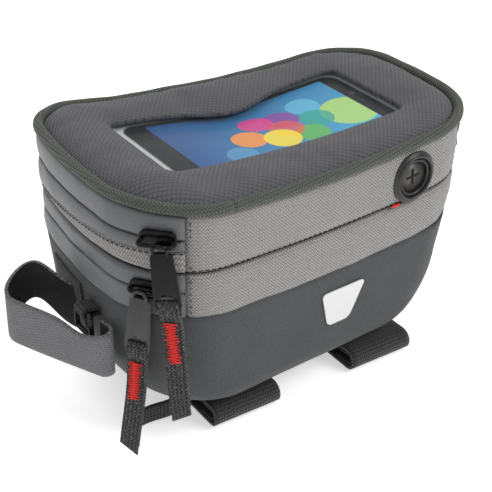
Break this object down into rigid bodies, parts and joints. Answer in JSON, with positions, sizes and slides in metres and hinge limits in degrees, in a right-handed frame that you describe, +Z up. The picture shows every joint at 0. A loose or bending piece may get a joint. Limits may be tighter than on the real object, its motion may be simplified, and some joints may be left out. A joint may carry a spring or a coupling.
{
  "type": "strap-on phone bag",
  "caption": "Soft bag with a window lid for a phone, side-hinged zip compartments, a rubber cable port and hook-and-loop mounting straps.",
  "frame": {"origin": "centre of the bounding box's base, on the ground plane under the bottom straps", "axes": "+X along the bag from the zip-slider end to the rear end, +Z up, near (hinge and cable port) side faces -Y"},
  "size_m": [0.233, 0.1382, 0.1389],
  "materials": {
    "moulded_shell": "moulded foam with a fine fabric face",
    "board": "stiffening board",
    "lining": "thin nylon lining",
    "woven_grey": "light grey basket-weave polyester",
    "coated_grey": "smooth water-resistant zip tape",
    "zip_coil": "nylon coil",
    "reflective": "reflective film",
    "strap_black": "hook-and-loop webbing",
    "webbing_black": "ribbed webbing",
    "hard_black": "black plastic",
    "slider_black": "black zip slider",
    "rubber_black": "soft rubber",
    "thread_red": "red stitching",
    "piping_grey": "woven binding",
    "lid_fabric": "dark grey twill over foam",
    "clear_film": "clear flexible film",
    "printed_card": "printed card",
    "card_back": "plain card"
  },
  "bodies": {
    "shell_body": {"eva_shell": "moulded_shell", "base_board": "board", "lower_lining": "lining", "lower_woven_band": "woven_grey", "lower_zip_band": "coated_grey", "lower_zip_coil": "zip_coil", "reflective_patch": "reflective", "front_strap": "strap_black", "front_strap_patch": "webbing_black", "front_ring_tab": "webbing_black", "bottom_strap_front": "strap_black", "bottom_strap_rear": "strap_black", "bottom_patch_front": "webbing_black", "bottom_patch_rear": "webbing_black", "tail_webbing": "webbing_black"},
    "strap_ring": {"front_ring": "hard_black"},
    "upper_half": {"upper_woven_band": "woven_grey", "wedge_strip": "woven_grey", "middle_zip_band": "coated_grey", "middle_zip_coil": "zip_coil", "upper_zip_band": "coated_grey", "upper_zip_coil": "zip_coil", "divider_panel": "lining", "upper_lining": "lining", "port_flange": "rubber_black", "port_membrane": "rubber_black", "port_retainer": "rubber_black", "port_bartack": "thread_red"},
    "phone_lid": {"lid_zip_band": "coated_grey", "lid_zip_coil": "zip_coil", "piping": "piping_grey", "lid_panel": "lid_fabric", "window_film": "clear_film", "display_card": "printed_card", "card_backing": "card_back"},
    "lower_slider_body": {"lower_slider": "slider_black"},
    "lower_puller_body": {"lower_puller": "hard_black"},
    "lower_tape_body": {"lower_pull_tape": "webbing_black", "lower_bartack": "thread_red"},
    "upper_slider_body": {"upper_slider": "slider_black"},
    "upper_puller_body": {"upper_puller": "hard_black"},
    "upper_tape_body": {"upper_pull_tape": "webbing_black", "upper_bartack": "thread_red"}
  },
  "joints": [
    {"name": "upper_half_hinge", "type": "hinge", "parent": "shell_body", "child": "upper_half", "pos_m": [0.01875, -0.05656, 0.09815], "axis": [0.998, 0.0628, 0], "range_deg": [0, 95]},
    {"name": "phone_lid_hinge", "type": "hinge", "parent": "upper_half", "child": "phone_lid", "pos_m": [0.01892, -0.05916, 0.1248], "axis": [0.998, 0.0628, 0], "range_deg": [0, 105]},
    {"name": "lower_slider_travel", "type": "hinge", "parent": "shell_body", "child": "lower_slider_body", "pos_m": [-0.04648, -0.02059, 0.0933], "axis": [0, 0, 1], "range_deg": [-6, 0]},
    {"name": "upper_slider_travel", "type": "hinge", "parent": "upper_half", "child": "upper_slider_body", "pos_m": [-0.04648, -0.02059, 0.12], "axis": [0, 0, 1], "range_deg": [0, 8]},
    {"name": "lower_puller_swing", "type": "hinge", "parent": "lower_slider_body", "child": "lower_puller_body", "pos_m": [-0.08199, -0.04823, 0.0933], "axis": [0.6143, -0.7891, 0], "range_deg": [-100, 3]},
    {"name": "lower_tape_swing", "type": "hinge", "parent": "lower_puller_body", "child": "lower_tape_body", "pos_m": [-0.0836, -0.04617, 0.06341], "axis": [0.6119, -0.7861, -0.0872], "range_deg": [-60, 4]},
    {"name": "upper_puller_swing", "type": "hinge", "parent": "upper_slider_body", "child": "upper_puller_body", "pos_m": [-0.07786, -0.05841, 0.12], "axis": [0.7193, -0.6947, 0], "range_deg": [-100, 3]},
    {"name": "upper_tape_swing", "type": "hinge", "parent": "upper_puller_body", "child": "upper_tape_body", "pos_m": [-0.0756, -0.06059, 0.09016], "axis": [0.7154, -0.6909, 0.1045], "range_deg": [-60, 4]},
    {"name": "front_ring_swing", "type": "hinge", "parent": "shell_body", "child": "strap_ring", "pos_m": [-0.092, -0.0109, 0.067], "axis": [0, 1, 0], "range_deg": [-15, 12]}
  ],
  "couplings": [
    {"joint": "upper_puller_swing", "follows": "upper_half_hinge", "ratio": -1}
  ]
}
